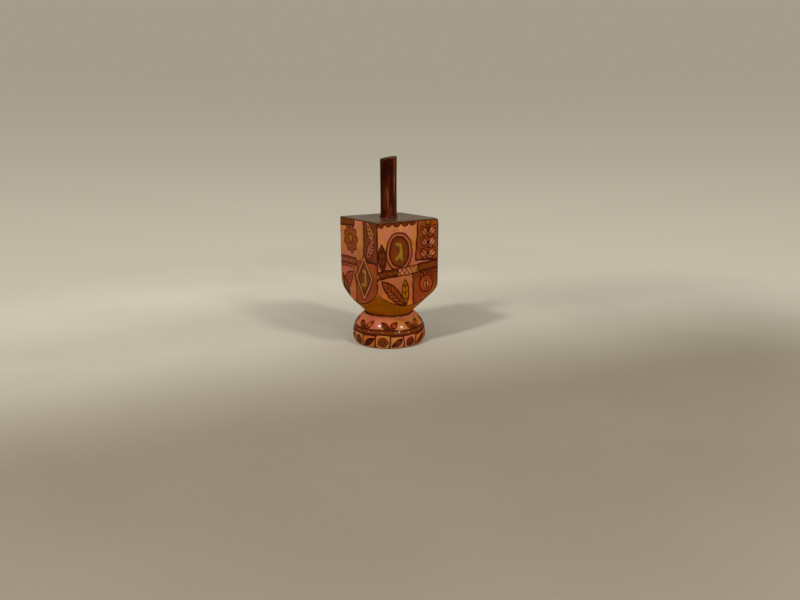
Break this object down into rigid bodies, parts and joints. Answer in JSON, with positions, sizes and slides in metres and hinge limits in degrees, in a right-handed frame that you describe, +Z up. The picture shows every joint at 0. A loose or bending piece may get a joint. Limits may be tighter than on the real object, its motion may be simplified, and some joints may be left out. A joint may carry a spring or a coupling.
{
  "type": "dreidel",
  "caption": "Square wooden spinning top with a turned conical nose, a round grip stem and a ball-ended tip, standing nose down in a domed round wooden stand.",
  "frame": {"origin": "centre of the stand's flat underside", "axes": "+Z up along the spinning axis; the block's faces look along -Y (front), +X, +Y and -X; the stem's hand-cut top rises towards +X"},
  "size_m": [0.0428, 0.0428, 0.106],
  "materials": {
    "painted_block": "hand painted in salmon, rust, brown and ochre under a clear gloss lacquer",
    "stained_stem": "dark red-brown stain under a clear gloss lacquer",
    "bare_hardwood": "bare sanded hardwood, worn at the end",
    "painted_stand": "hand painted in salmon and brown under a clear gloss lacquer, bare underneath and in the socket"
  },
  "bodies": {
    "stand": {"stand": "painted_stand"},
    "tip": {"spinning_tip": "bare_hardwood"},
    "dreidel": {"block": "painted_block", "stem": "stained_stem"}
  },
  "joints": [
    {"name": "lift", "type": "slide", "parent": "stand", "child": "tip", "axis": [0, 0, 1], "range_m": [0, 0.04]},
    {"name": "spin", "type": "hinge", "parent": "tip", "child": "dreidel", "pos_m": [0, 0, 0.0044], "axis": [0, 0, 1], "continuous": true}
  ]
}
